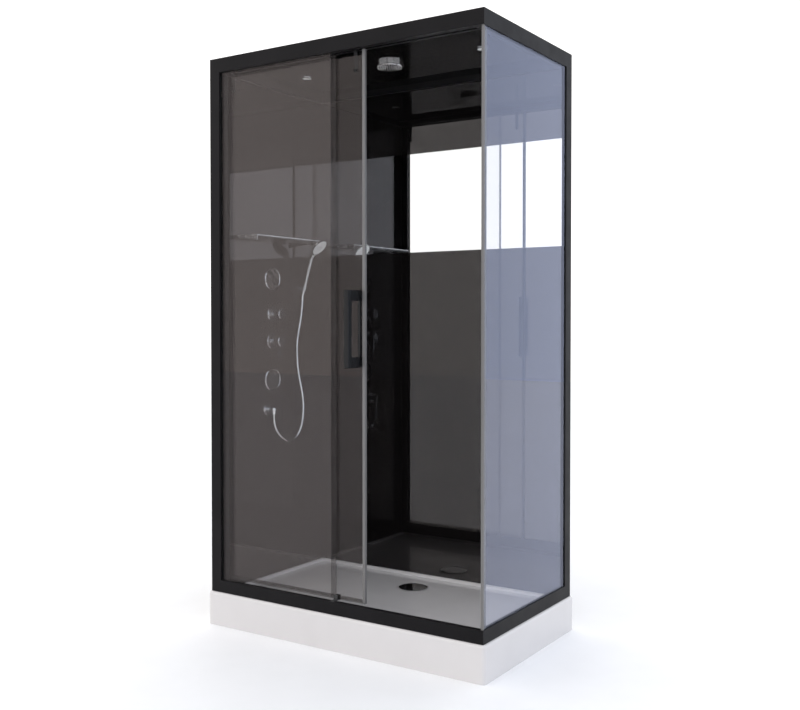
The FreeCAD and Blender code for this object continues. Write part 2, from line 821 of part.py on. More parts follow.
def hangers():
    """Slim plates behind the glass, bolted to small caps, each with an axle in the roller track."""
    middle = door_middle()
    y0 = frame_front + door_inset
    y1 = y0 + glass_thickness
    glass_edge = rail_bottom - door_top_gap
    axle_z = roller_height()
    arms = []
    caps = []
    names = ("left", "right")
    for name, x in zip(names, hanger_places()):
        half = hanger_width / 2
        back = y1 + hanger_plate
        plate = block(x - half, x + half, y1, back, glass_edge - hanger_grip, glass_edge + hanger_saddle)
        front = middle - hanger_arm / 2
        saddle = block(x - half, x + half, front, back, glass_edge, glass_edge + hanger_saddle)
        arm = block(x - half, x + half, front, front + hanger_arm, glass_edge, axle_z + hanger_arm_rise)
        body = fused([plate, saddle, arm])
        bolt_z = glass_edge - hanger_cap_drop
        bolt_hole = rod((x, y1 - cutter_reach, bolt_z), (0, 1, 0), hanger_bolt_radius + bolt_fit,
                        hanger_plate + 2 * cutter_reach)
        cap_front = y0 - hanger_cap_height
        head = rod((x, cap_front, bolt_z), (0, 1, 0), hanger_cap_radius, hanger_cap_height)
        tail = rod((x, back, bolt_z), (0, 1, 0), hanger_cap_radius, hanger_cap_height)
        shank = rod((x, cap_front, bolt_z), (0, 1, 0), hanger_bolt_radius,
                    back + hanger_cap_height - cap_front)
        caps.append(fused([head, shank, tail]))
        reach = roller_spread / 2 + roller_width / 2
        axle = rod((x, middle - reach, axle_z), (0, 1, 0), axle_radius, 2 * reach)
        arms.append(fused([body.cut(bolt_hole), axle]))
        wheels = []
        for side in (-1, 1):
            start = middle + side * roller_spread / 2 - roller_width / 2
            wheel = rod((x, start, axle_z), (0, 1, 0), roller_radius, roller_width)
            bore = rod((x, start - cutter_reach, axle_z), (0, 1, 0), axle_radius + axle_fit,
                       roller_width + 2 * cutter_reach)
            wheels.append(wheel.cut(bore))
        keep("rollers_" + name, wheels)
    keep("door_hangers", arms)
    return caps


def roller_height():
    return rail_bottom + profile_wall + roller_rise + roller_radius


def door_stops():
    track_left, track_right = track_ends()
    y0 = frame_front + track_first_wall
    low = rail_bottom + profile_wall
    high = rail_bottom + track_height
    stops = [block(track_left, track_left + stop_length, y0, y0 + track_width, low, high),
             block(track_right - stop_length, track_right, y0, y0 + track_width, low, high)]
    keep("door_stops", stops)


def door_guide():
    """Foot on the sill beside the fixed pane's free edge: the door runs between its cheeks."""
    x0 = frame_left + fixed_pane_right() + guide_place
    x1 = x0 + guide_width
    middle = door_middle()
    inner = sweep_depth / 2 + guide_gap
    front = frame_front + guide_gap
    back = middle + inner + guide_cheek
    base = block(x0, x1, front, back, sill_top, sill_top + guide_base)
    outside = block(x0, x1, middle - inner - guide_cheek, middle - inner, sill_top, sill_top + guide_height)
    inside = block(x0, x1, middle + inner, back, sill_top, sill_top + guide_height)
    keep("door_guide", fused([base, outside, inside]))


def handle_screw_heights():
    return (handle_bottom + handle_arm_height / 2, handle_bottom + handle_height - handle_arm_height / 2)


def door_handle():
    right = handle_x()
    left = right - handle_arm_thickness
    glass_front = frame_front + door_inset
    glass_back = glass_front + glass_thickness
    low = handle_bottom
    high = handle_bottom + handle_height
    grip_back = glass_front - handle_reach
    plate = block(left, right, glass_front - handle_plate_thickness, glass_front, low, high)
    arms = []
    for z in (low, high - handle_arm_height):
        arms.append(block(left, right, grip_back, glass_front, z, z + handle_arm_height))
    frame = fused([plate] + arms)
    screws = []
    for z in handle_screw_heights():
        x = right - handle_arm_thickness / 2
        shank_start = glass_front - handle_plate_thickness * 2
        frame = frame.cut(rod((x, shank_start, z), (0, 1, 0), handle_screw_radius,
                              handle_plate_thickness * 2 + cutter_reach))
        shank = rod((x, shank_start, z), (0, 1, 0), handle_screw_radius,
                    glass_back + handle_plate_thickness - shank_start)
        head = rod((x, glass_back + handle_plate_thickness, z), (0, 1, 0),
                   handle_arm_thickness / 2 - panel_gap, handle_screw_radius / 2)
        screws.append(fused([shank, head]))
    grip = block(right - handle_grip_width, right, grip_back - handle_grip_depth, grip_back, low, high)
    grip = grip.makeFillet(handle_edge_radius, upright_edges(grip))
    keep("door_handle", fused([frame, grip]))
    inner_plate = block(left, right, glass_back, glass_back + handle_plate_thickness, low, high)
    holes = [rod((right - handle_arm_thickness / 2, glass_back - cutter_reach, z), (0, 1, 0),
                 handle_screw_radius, handle_plate_thickness + 2 * cutter_reach)
             for z in handle_screw_heights()]
    keep("handle_inner_plate", inner_plate.cut(holes))
    return screws


# ---------------------------------------------------------------- fittings on the left wall
def jet_bezel(z):
    centre = (wall_x, column_y, z)
    seat = jet_ball_radius + jet_seat_gap
    return revolved([(seat, 0), (jet_bezel_radius, 0), (jet_bezel_radius, jet_bezel_height / 2),
                     (jet_bezel_radius - jet_bezel_slope, jet_bezel_height), (seat, jet_bezel_height / 2)],
                    centre, (1, 0, 0))


def jet_housing(z):
    centre = (wall_x, column_y, z)
    seat = jet_ball_radius + jet_seat_gap
    shell = seat + jet_housing_wall
    depth = jet_housing_depth
    return revolved([(0, -depth), (shell, -depth), (shell, 0), (seat, 0), (seat, -depth + jet_housing_wall),
                     (0, -depth + jet_housing_wall)], centre, (1, 0, 0))


def jet_core(z):
    """Everything inside the housing's outer face, where no pipe goes."""
    shell = jet_ball_radius + jet_seat_gap + jet_housing_wall
    return rod((wall_x - jet_housing_depth, column_y, z), (1, 0, 0), shell, jet_housing_depth)


def jet_nozzle_plate(name, z):
    centre = (wall_x, column_y, z)
    ball = Part.makeSphere(jet_ball_radius, V(*centre))
    slab = block(wall_x - jet_back_depth, wall_x + jet_face_rise, column_y - jet_ball_radius,
                 column_y + jet_ball_radius, z - jet_ball_radius, z + jet_ball_radius)
    insert = ball.common(slab)
    nozzles = []
    root = wall_x + jet_face_rise - cutter_reach
    for ring, count in jet_nozzle_rings:
        for step in range(count):
            angle = 2 * math.pi * step / count
            start = (root, column_y + ring * math.cos(angle), z + ring * math.sin(angle))
            nozzles.append(rod(start, (1, 0, 0), jet_nozzle_radius, jet_nozzle_height + cutter_reach))
    keep(name, fused([insert] + nozzles))


def rosette(centre_y, z, radius, height, bore):
    return revolved([(bore, 0), (radius, 0), (radius, height / 2), (radius - height / 2, height),
                     (bore, height)], (wall_x, centre_y, z), (1, 0, 0))


def diverter():
    base_x = wall_x - wall_space
    body = rod((base_x, column_y, diverter_z), (1, 0, 0), valve_radius, wall_space - panel_thickness / 2)
    sleeve = rod((base_x, column_y, diverter_z), (1, 0, 0), spindle_radius,
                 wall_space + knob_start - panel_gap)
    tip = rod((base_x, column_y, diverter_z), (1, 0, 0), spindle_tip_radius,
              wall_space + knob_start + knob_bore_depth - panel_gap)
    valve = fused([body, sleeve, tip])
    start = wall_x + knob_start
    inner = knob_radius - knob_edge
    knob = revolved([(0, 0), (inner, 0), (knob_radius, knob_edge), (knob_radius, knob_length - knob_edge),
                     (inner, knob_length), (0, knob_length)], (start, column_y, diverter_z), (1, 0, 0))
    bore = rod((start - cutter_reach, column_y, diverter_z), (1, 0, 0), spindle_tip_radius + knob_fit,
               knob_bore_depth + cutter_reach)
    flutes = []
    for step in range(knob_groove_count):
        angle = 2 * math.pi * step / knob_groove_count
        y = column_y + (knob_radius + knob_groove_offset) * math.cos(angle)
        z = diverter_z + (knob_radius + knob_groove_offset) * math.sin(angle)
        flutes.append(rod((start + knob_edge, y, z), (1, 0, 0), knob_groove_radius, knob_length))
    keep("diverter_knob", knob.cut([bore] + flutes))
    return valve


def mixer():
    base_x = wall_x - wall_space
    body = rod((base_x, column_y, mixer_z), (1, 0, 0), valve_radius, wall_space - panel_thickness / 2)
    sleeve = rod((base_x, column_y, mixer_z), (1, 0, 0), spindle_radius,
                 wall_space + mixer_hub_start - panel_gap)
    tip = rod((base_x, column_y, mixer_z), (1, 0, 0), spindle_tip_radius,
              wall_space + mixer_hub_start + mixer_bore_depth - panel_gap)
    valve = fused([body, sleeve, tip])

    # hub turns on the cartridge for the temperature, the lever tips in the hub's slot for the flow
    start = wall_x + mixer_hub_start
    hub = revolved([(0, 0), (mixer_hub_radius, 0), (mixer_hub_radius, mixer_hub_length - knob_edge),
                    (mixer_hub_radius - knob_edge, mixer_hub_length), (0, mixer_hub_length)],
                   (start, column_y, mixer_z), (1, 0, 0))
    bore = rod((start - cutter_reach, column_y, mixer_z), (1, 0, 0), spindle_tip_radius + knob_fit,
               mixer_bore_depth + cutter_reach)
    pivot_x = wall_x + lever_pivot_out
    slot_half = lever_width / 2 + panel_gap
    slot = block(pivot_x - lever_slot_back, start + mixer_hub_length + cutter_reach, column_y - slot_half,
                 column_y + slot_half, mixer_z - mixer_hub_radius - cutter_reach, mixer_z - lever_slot_drop)
    pin_half = mixer_hub_radius * lever_pin_share
    top = mixer_z - lever_pivot_drop
    pin = rod((pivot_x, column_y - pin_half, top), (0, 1, 0), lever_pin_radius, 2 * pin_half)
    keep("mixer_hub", fused([hub.cut([bore, slot]), pin]))

    eye = rod((pivot_x, column_y - lever_width / 2, top), (0, 1, 0), lever_eye_radius, lever_width)
    back = pivot_x - lever_back
    stick = block(back, back + lever_thickness, column_y - lever_width / 2, column_y + lever_width / 2,
                  top - lever_length, top)
    hole = rod((pivot_x, column_y - lever_width, top), (0, 1, 0), lever_pin_radius + axle_fit,
               2 * lever_width)
    keep("mixer_lever", fused([eye, stick]).cut(hole))
    return valve


def wall_rings():
    """Jet bezels and rosettes: the plated rings that cover the holes in the left wall."""
    spindle_bore = spindle_radius + panel_gap
    keep("wall_rings", [jet_bezel(upper_jet_z), jet_bezel(lower_jet_z),
                        rosette(column_y, diverter_z, rosette_radius, rosette_height, spindle_bore),
                        rosette(column_y, mixer_z, mixer_rosette_radius, rosette_height, spindle_bore),
                        rosette(outlet_y, outlet_z, outlet_rosette_radius, rosette_height,
                                outlet_tube_radius + panel_gap)])


def hose_outlet():
    base_x = wall_x - wall_space
    ball_x = wall_x + outlet_reach
    tube = rod((base_x, outlet_y, outlet_z), (1, 0, 0), outlet_tube_radius, wall_space + outlet_reach)
    ball = Part.makeSphere(outlet_ball_radius, V(ball_x, outlet_y, outlet_z))
    drop = rod((ball_x, outlet_y, hose_start()[2]), (0, 0, 1), outlet_nut_radius, outlet_z - hose_start()[2])
    elbow = tube.fuse([ball, drop])
    keep("outlet_elbow", elbow)
    return elbow


# ---------------------------------------------------------------- hose and hand shower
def axis_point(distance):
    """Point on the hand shower's axis, measured from the holder's centre."""
    lean = math.radians(holder_tilt)
    return (holder_x + distance * math.sin(lean), holder_y, holder_z + distance * math.cos(lean))


def hose_start():
    return (wall_x + outlet_reach, outlet_y, outlet_z - outlet_drop)


def hose_route():
    """From the outlet elbow, down through the loop and up to the hand shower's nut."""
    return [hose_start(),
            (-527.0, -50.0, 745.0),
            (-520.0, -35.0, 706.0),
            (-512.0, -1.0, 677.0),
            (-508.0, 38.0, 669.0),
            (-505.0, 74.0, 686.0),
            (-503.0, 96.0, 722.0),
            (-502.0, 106.0, 766.0),
            (-503.0, 110.0, 814.0),
            (-507.0, 107.0, 862.0),
            (-515.0, 101.0, 912.0),
            (-526.0, 102.0, 960.0),
            (-536.0, 109.0, 1008.0),
            (-543.0, 116.0, 1054.0),
            (-546.0, 127.0, 1101.0),
            (-546.5, 141.0, 1146.0),
            (-546.5, 152.5, 1190.0),
            (-546.5, 157.0, 1232.0),
            axis_point(-handset_nut_drop - hose_end_run),
            axis_point(-handset_nut_drop)]


def cord_tube(points, radius):
    """Straight runs joined by tangent arcs, swept with a round section."""
    points = [V(*point) for point in points]
    edges = []
    radii = []
    start = points[0]
    for before, corner, after in zip(points, points[1:], points[2:]):
        into = (before - corner).normalize()
        out = (after - corner).normalize()
        turn = math.pi - into.getAngle(out)
        reach = hose_bend_share * min((before - corner).Length, (after - corner).Length)
        radii.append(reach / math.tan(turn / 2))
        first = corner + into * reach
        last = corner + out * reach
        bisector = (into + out).normalize()
        centre = corner + bisector * math.hypot(reach, radii[-1])
        middle = centre - bisector * radii[-1]
        edges.append(Part.LineSegment(start, first).toShape())
        edges.append(Part.Arc(first, middle, last).toShape())
        start = last
    edges.append(Part.LineSegment(start, points[-1]).toShape())
    path = Part.Wire(edges)
    direction = points[1] - points[0]
    section = Part.Wire(Part.makeCircle(radius, points[0], direction))
    tube = path.makePipeShell([section], True, False)
    expected = math.pi * radius ** 2 * path.Length
    print("hose bend radii", [round(value) for value in radii])
    print("hose length %.1f, volume over section times length %.4f" % (path.Length, tube.Volume / expected))
    return tube


def hose():
    keep("shower_hose", cord_tube(hose_route(), hose_radius))


def on_axis(shape):
    """Move a piece modelled upright about the origin onto the hand shower's leaning axis."""
    lean = FreeCAD.Rotation(V(0, 1, 0), holder_tilt)
    turn = FreeCAD.Rotation(V(0, 0, 1), handset_turn)
    shape = shape.copy()
    axis = FreeCAD.Placement(V(holder_x, holder_y, holder_z), lean.multiply(turn))
    shape.Placement = axis.multiply(shape.Placement)
    return shape


def hand_shower_holder():
    half = holder_ring_height / 2
    ring = Part.makeCylinder(holder_ring_radius, holder_ring_height, V(0, 0, -half))
    seat = Part.makeCone(cone_low_radius + cone_gap, cone_high_radius + cone_gap, holder_ring_height,
                         V(0, 0, -half))
    base = block(wall_x, wall_x + holder_base_depth, holder_y - holder_base_width / 2,
                 holder_y + holder_base_width / 2, holder_z - holder_base_height / 2,
                 holder_z + holder_base_height / 2)
    neck = block(wall_x, holder_x, holder_y - holder_neck_width / 2, holder_y + holder_neck_width / 2,
                 holder_z - holder_neck_height / 2, holder_z + holder_neck_height / 2)
    keep("hand_shower_holder", fused([base, neck, on_axis(ring)]).cut(on_axis(seat)))


def hand_shower():
    half = holder_ring_height / 2
    cone = Part.makeCone(cone_low_radius, cone_high_radius, holder_ring_height, V(0, 0, -half))
    nut = Part.makeCylinder(cone_low_radius, handset_nut_drop - half, V(0, 0, -handset_nut_drop))
    handle = Part.makeCone(handset_handle_radius, handset_neck_radius, handset_handle_length, V(0, 0, half))
    collar = Part.makeCylinder(cone_high_radius + handset_collar_step, handset_collar_height, V(0, 0, half))
    head, face, recess = shower_head()
    neck_start = V(0, 0, half + handset_handle_length - cutter_reach)
    head_centre = V(handset_head_out, 0, handset_head_place)
    lean = math.radians(handset_head_tilt)
    inward = handset_head_thickness * handset_back_share
    back = head_centre - V(math.cos(lean), 0, -math.sin(lean)) * inward
    toward = back - neck_start
    neck = Part.makeCone(handset_neck_radius, handset_neck_radius * handset_neck_taper, toward.Length,
                         neck_start, toward)
    joint = Part.makeSphere(handset_neck_radius + handset_joint_swell, neck_start)
    keep("hand_shower", on_axis(fused([cone, nut, handle, collar, joint, neck, head]).cut(recess)))
    keep("hand_shower_nozzle_plate", on_axis(face))


def shower_head():
    """Round head: its back is a shallow dish, its nozzle plate sits in a recess in front."""
    lean = math.radians(handset_head_tilt)
    normal = V(math.cos(lean), 0, -math.sin(lean))
    centre = V(handset_head_out, 0, handset_head_place)
    place = FreeCAD.Placement(centre, FreeCAD.Rotation(V(0, 0, 1), normal))
    radius = handset_head_radius
    depth = handset_head_thickness
    points = [V(0, 0, -depth), V(radius * handset_back_share, 0, -depth),
              V(radius, 0, -depth * handset_rim_share), V(radius, 0, 0),
              V(handset_face_radius, 0, 0), V(handset_face_radius, 0, -handset_face_thickness),
              V(0, 0, -handset_face_thickness)]
    body = Part.Face(Part.makePolygon(points + [points[0]])).revolve(V(0, 0, 0), V(0, 0, 1), 360)
    body.Placement = place
    plate = Part.makeCylinder(handset_face_radius, handset_face_thickness, V(0, 0, -handset_face_thickness))
    nozzles = []
    length = cutter_reach + handset_nozzle_height
    for ring, count in handset_nozzle_rings:
        for step in range(count):
            angle = 2 * math.pi * step / count
            spot = V(ring * math.cos(angle), ring * math.sin(angle), -cutter_reach)
            nozzles.append(Part.makeCylinder(handset_nozzle_radius, length, spot))
    face = fused([plate] + nozzles)
    face.Placement = place
    recess = Part.makeCylinder(handset_face_radius, 2 * depth, V(0, 0, -handset_face_thickness))
    recess.Placement = place
    return body, face, recess


# ---------------------------------------------------------------- shelf
def shelf():
    x1 = wall_x + shelf_depth
    y0 = shelf_start
    y1 = shelf_start + shelf_length
    top = shelf_z + shelf_thickness
    keep("shelf", block(wall_x, x1 - shelf_rail_thickness, y0, y1, shelf_z, top))
    # frame round the shelf: end plates that grow taller towards the front, and a rail between them
    rail_top = top + shelf_end_rise
    frame = [block(x1 - shelf_rail_thickness, x1, y0, y1, rail_top - shelf_rail_height, rail_top)]
    for y in (y0 - shelf_end_thickness, y1):
        points = [V(wall_x, y, shelf_z - shelf_end_root), V(x1, y, shelf_z - shelf_end_drop),
                  V(x1, y, rail_top), V(wall_x, y, top + shelf_end_root)]
        face = Part.Face(Part.makePolygon(points + [points[0]]))
        frame.append(face.extrude(V(0, shelf_end_thickness, 0)))
    keep("shelf_brackets", fused(frame))


# ---------------------------------------------------------------- ceiling
def light_places():
    return (light_x - light_spread / 2, light_x + light_spread / 2)


def ceiling_lights():
    bezels = []
    lenses = []
    inner = light_radius - light_rim
    bore = inner - light_wall
    for x in light_places():
        centre = (x, rain_head_y, roof_underside)
        bezels.append(revolved([(bore, -light_drop), (light_radius, -light_drop), (light_radius, 0),
                                (inner, 0), (inner, light_body_height), (bore, light_body_height)],
                               centre, (0, 0, 1)))
        lenses.append(rod(centre, (0, 0, 1), bore - panel_gap, light_body_height))
    keep("light_bezels", bezels)
    keep("light_modules", lenses)


def rain_head():
    """Round head flat against the ceiling, screwed on the end of the pipe that comes through the roof."""
    x, y = rain_head_x, rain_head_y
    neck_low = roof_underside - rain_neck_grip
    neck = rod((x, y, neck_low), (0, 0, 1), rain_neck_radius, roof_pipe_height() - neck_low)
    keep("rain_neck", neck)

    face_z = roof_underside - rain_head_thickness
    inner = rain_head_radius - rain_head_edge
    head = revolved([(0, face_z), (inner, face_z), (rain_head_radius, face_z + rain_head_edge),
                     (rain_head_radius, roof_underside), (0, roof_underside)], (x, y, 0), (0, 0, 1))
    socket = rod((x, y, neck_low), (0, 0, 1), rain_neck_radius + bolt_fit, rain_neck_grip + cutter_reach)
    nozzles = []
    for ring, count in rain_nozzle_rings:
        for step in range(count):
            angle = 2 * math.pi * step / count
            start = (x + ring * math.cos(angle), y + ring * math.sin(angle), face_z - rain_nozzle_height)
            nozzles.append(rod(start, (0, 0, 1), rain_nozzle_radius, rain_nozzle_height + cutter_reach))
    keep("rain_head", fused([head.cut(socket)] + nozzles))
    return neck


# ---------------------------------------------------------------- pipes behind the wall
def riser_x():
    return wall_x - panel_thickness - riser_offset


def pipe_run(points):
    """Square pipe run through the points, with ball-shaped corners."""
    pieces = []
    for start, end in zip(points, points[1:]):
        span = V(*end) - V(*start)
        pieces.append(rod(start, tuple(span), riser_radius, span.Length))
    for corner in points[1:-1]:
        pieces.append(Part.makeSphere(riser_radius, V(*corner)))
    return pieces


def roof_pipe_height():
    return roof_underside + roof_thickness + riser_radius + panel_gap


def riser_runs():
    """Mixed water: the riser with its branches, and the run over the roof to the rain head."""
    x = riser_x()
    y = column_y + riser_spread
    top = roof_pipe_height()
    rain = (rain_head_x, rain_head_y, top)
    runs = pipe_run([(x, outlet_y, outlet_z), (x, y, outlet_z), (x, y, top), (rain_head_x, y, top), rain])
    for z in (lower_jet_z, diverter_z, upper_jet_z):
        runs += pipe_run([(x, column_y, z), (x, y, z)])
    runs += pipe_run([(x, column_y, mixer_z), (x, column_y, diverter_z)])
    return runs


def water_pipes(cutters):
    x = riser_x()
    pieces = riser_runs()
    for side in (-1, 1):
        y = column_y + side * inlet_spacing / 2
        pieces += pipe_run([(x, column_y, mixer_z), (x, y, mixer_z), (x, y, inlet_z)])
        pieces.append(rod((x, y, inlet_z), (0, 0, 1), inlet_radius, inlet_length))
    keep("water_pipes", fused(pieces).cut(cutters))


def main():
    os.makedirs("parts", exist_ok=True)
    tray_shell()
    tray_support()
    drain()
    sills()
    top_rails()
    posts()
    corner_keys()
    back_wall()
    left_wall()
    roof()
    keep("pane_gaskets", [fixed_pane(), side_pane()])
    door_glass()
    caps = hangers()
    door_stops()
    door_guide()
    keep("door_bolts", caps + door_handle())
    housings = [jet_housing(upper_jet_z), jet_housing(lower_jet_z)]
    keep("jet_housings", housings)
    jet_nozzle_plate("upper_jet_nozzle_plate", upper_jet_z)
    jet_nozzle_plate("lower_jet_nozzle_plate", lower_jet_z)
    wall_rings()
    valves = [diverter(), mixer()]
    keep("valve_bodies", valves)
    elbow = hose_outlet()
    hose()
    hand_shower_holder()
    hand_shower()
    shelf()
    ceiling_lights()
    neck = rain_head()
    cores = [jet_core(upper_jet_z), jet_core(lower_jet_z)]
    water_pipes(cores + valves + [elbow, neck])
    for name, shape in parts.items():
        bad = [solid for solid in shape.Solids if not solid.isValid() or solid.Volume <= 0]
        if bad:
            print("check", name, len(bad))
        shape.exportStep("parts/" + name + ".step")
    print(len(parts), "nodes")


main()
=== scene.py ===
import json
import math

import bpy
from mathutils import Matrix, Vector


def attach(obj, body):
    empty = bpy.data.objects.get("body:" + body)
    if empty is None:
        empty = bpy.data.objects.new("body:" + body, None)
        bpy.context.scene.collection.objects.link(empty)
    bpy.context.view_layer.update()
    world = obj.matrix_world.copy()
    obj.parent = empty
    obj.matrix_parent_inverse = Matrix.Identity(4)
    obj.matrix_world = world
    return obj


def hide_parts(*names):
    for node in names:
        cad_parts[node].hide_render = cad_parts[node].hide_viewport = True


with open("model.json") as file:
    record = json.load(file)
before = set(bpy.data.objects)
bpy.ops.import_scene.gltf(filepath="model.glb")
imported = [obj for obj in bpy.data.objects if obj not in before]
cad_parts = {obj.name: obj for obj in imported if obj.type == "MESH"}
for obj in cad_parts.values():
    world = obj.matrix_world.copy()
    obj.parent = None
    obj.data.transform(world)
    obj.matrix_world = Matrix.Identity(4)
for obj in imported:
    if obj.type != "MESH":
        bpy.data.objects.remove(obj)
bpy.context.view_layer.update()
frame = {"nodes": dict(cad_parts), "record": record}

nodes = frame["nodes"]
scene = bpy.context.scene


# ---------------------------------------------------------------- camera
# Solved from the cabin's straight edges. Places are in metres, angles in degrees, and pixels are the photo's.
IMAGE_WIDTH = 800
FRAME_MIDDLE = (400.0, 355.0)
AXIS_PIXEL = (402.45, 340.12)
FOCAL_PIXELS = 995.8
SENSOR = 36.0
CAMERA_PLACE = (2.0995, -3.1240, 1.1663)
CAMERA_YAW = 123.139
CAMERA_PITCH = -1.201

camera_data = bpy.data.cameras.new("camera")
camera_data.sensor_width = SENSOR
camera_data.lens = FOCAL_PIXELS / IMAGE_WIDTH * SENSOR
camera_data.shift_x = (FRAME_MIDDLE[0] - AXIS_PIXEL[0]) / IMAGE_WIDTH
camera_data.shift_y = (AXIS_PIXEL[1] - FRAME_MIDDLE[1]) / IMAGE_WIDTH
camera = bpy.data.objects.new("camera", camera_data)
scene.collection.objects.link(camera)
camera.location = CAMERA_PLACE
yaw = math.radians(CAMERA_YAW)
pitch = math.radians(CAMERA_PITCH)
forward = Vector((math.cos(yaw) * math.cos(pitch), math.sin(yaw) * math.cos(pitch), math.sin(pitch)))
camera.rotation_euler = forward.to_track_quat("-Z", "Y").to_euler()
scene.camera = camera

# ---------------------------------------------------------------- hose
HOSE_DIAMETER = 0.012
HOSE_ORDER = 3
HOSE_STEPS = 10
HOSE_ROUND = 6
HOSE_ROUTE = (
    (-0.527, -0.050, 0.784),
    (-0.527, -0.050, 0.745),
    (-0.520, -0.035, 0.706),
    (-0.512, -0.001, 0.677),
    (-0.508, 0.038, 0.669),
    (-0.505, 0.074, 0.686),
    (-0.503, 0.096, 0.722),
    (-0.502, 0.106, 0.766),
    (-0.503, 0.110, 0.814),
    (-0.507, 0.107, 0.862),
    (-0.515, 0.101, 0.912),
    (-0.526, 0.102, 0.960),
    (-0.536, 0.109, 1.008),
    (-0.543, 0.116, 1.054),
    (-0.546, 0.127, 1.101),
    (-0.5465, 0.141, 1.146),
    (-0.5465, 0.1525, 1.190),
    (-0.5465, 0.157, 1.232),
    (-0.5447945, 0.157, 1.2639638),
    (-0.5390932, 0.157, 1.2826117),
)

hose_curve = bpy.data.curves.new("hose_line", "CURVE")
hose_curve.dimensions = "3D"
hose_spline = hose_curve.splines.new("NURBS")
hose_spline.points.add(len(HOSE_ROUTE) - 1)
# Blender's box round a curve adds each point's radius in metres, so the thickness sits there: the bevel is 1.
for point, place in zip(hose_spline.points, HOSE_ROUTE):
    point.co = (*place, 1.0)
    point.radius = HOSE_DIAMETER / 2
hose_curve.bevel_depth = 1.0
hose_curve.bevel_resolution = HOSE_ROUND
hose_spline.order_u = HOSE_ORDER
hose_spline.use_endpoint_u = True
hose_spline.resolution_u = HOSE_STEPS
hose_curve.use_fill_caps = True
hose = bpy.data.objects.new("hose", hose_curve)
scene.collection.objects.link(hose)
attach(hose, "cabin")
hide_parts("shower_hose")


# ---------------------------------------------------------------- materials
EVEN = (1.0, 1.0, 1.0)
UNTINTED = (1.0, 1.0, 1.0)
TONE_DETAIL = 3.0
NOISE_LOW = 0.3
NOISE_HIGH = 0.7
GRAIN_DEPTH = 0.001
COAT_ROUGHNESS = 0.05
ROUGHNESS_OVER_TONE = 3.0
TINT_WAVES = 1.5
WIPE_WAVES = 9.0
CLOUD_WAVES = 40.0
SMOOTHEST = 0.5
THINNEST_CLOUD = 0.85
FACING_BLEND = 0.5
GRAZING_POWER = 5.0


def node_tree(name):
    material = bpy.data.materials.new(name)
    material.use_nodes = True
    tree = material.node_tree
    tree.nodes.clear()
    output = tree.nodes.new("ShaderNodeOutputMaterial")
    return material, tree, output


def noise(tree, scale, detail=2.0, stretch=EVEN):
    """Noise fixed to the object; scale in waves per metre, and stretch scales it along each axis."""
    place = tree.nodes.new("ShaderNodeTexCoord")
    mapping = tree.nodes.new("ShaderNodeMapping")
    mapping.inputs["Scale"].default_value = stretch
    texture = tree.nodes.new("ShaderNodeTexNoise")
    texture.inputs["Scale"].default_value = scale
    texture.inputs["Detail"].default_value = detail
    tree.links.new(place.outputs["Object"], mapping.inputs["Vector"])
    tree.links.new(mapping.outputs["Vector"], texture.inputs["Vector"])
    return texture.outputs["Fac"]


def spread(tree, source, low, high):
    """Map the middle of a noise to a range of numbers."""
    node = tree.nodes.new("ShaderNodeMapRange")
    node.inputs["From Min"].default_value = NOISE_LOW
    node.inputs["From Max"].default_value = NOISE_HIGH
    node.inputs["To Min"].default_value = low
    node.inputs["To Max"].default_value = high
    tree.links.new(source, node.inputs["Value"])
    return node.outputs["Result"]


def shade(tree, source, low, high):
    """Map the middle of a noise to a range of colours."""
    ramp = tree.nodes.new("ShaderNodeValToRGB")
    ramp.color_ramp.elements[0].position = NOISE_LOW
    ramp.color_ramp.elements[0].color = (*low, 1.0)
    ramp.color_ramp.elements[1].position = NOISE_HIGH
    ramp.color_ramp.elements[1].color = (*high, 1.0)
    tree.links.new(source, ramp.inputs["Fac"])
    return ramp.outputs["Color"]


def surface(name, low, high, rough, metallic=0.0, tone_scale=6.0, grain_scale=700.0, grain=0.02,
            stretch=EVEN, coat=0.0, ior=1.5, gloss_tint=UNTINTED):
    """Solid finish: two close tones, a range of roughness and a fine grain."""
    material, tree, output = node_tree(name)
    shader = tree.nodes.new("ShaderNodeBsdfPrincipled")
    shader.inputs["Metallic"].default_value = metallic
    shader.inputs["IOR"].default_value = ior
    shader.inputs["Specular Tint"].default_value = (*gloss_tint, 1.0)
    shader.inputs["Coat Weight"].default_value = coat
    shader.inputs["Coat Roughness"].default_value = COAT_ROUGHNESS
    tone = noise(tree, tone_scale, TONE_DETAIL, stretch)
    tree.links.new(shade(tree, tone, low, high), shader.inputs["Base Color"])
    wear = noise(tree, tone_scale * ROUGHNESS_OVER_TONE, stretch=stretch)
    tree.links.new(spread(tree, wear, *rough), shader.inputs["Roughness"])
    bump = tree.nodes.new("ShaderNodeBump")
    bump.inputs["Strength"].default_value = grain
    bump.inputs["Distance"].default_value = GRAIN_DEPTH
    tree.links.new(noise(tree, grain_scale, stretch=stretch), bump.inputs["Height"])
    tree.links.new(bump.outputs["Normal"], shader.inputs["Normal"])
    tree.links.new(shader.outputs["BSDF"], output.inputs["Surface"])
    return material


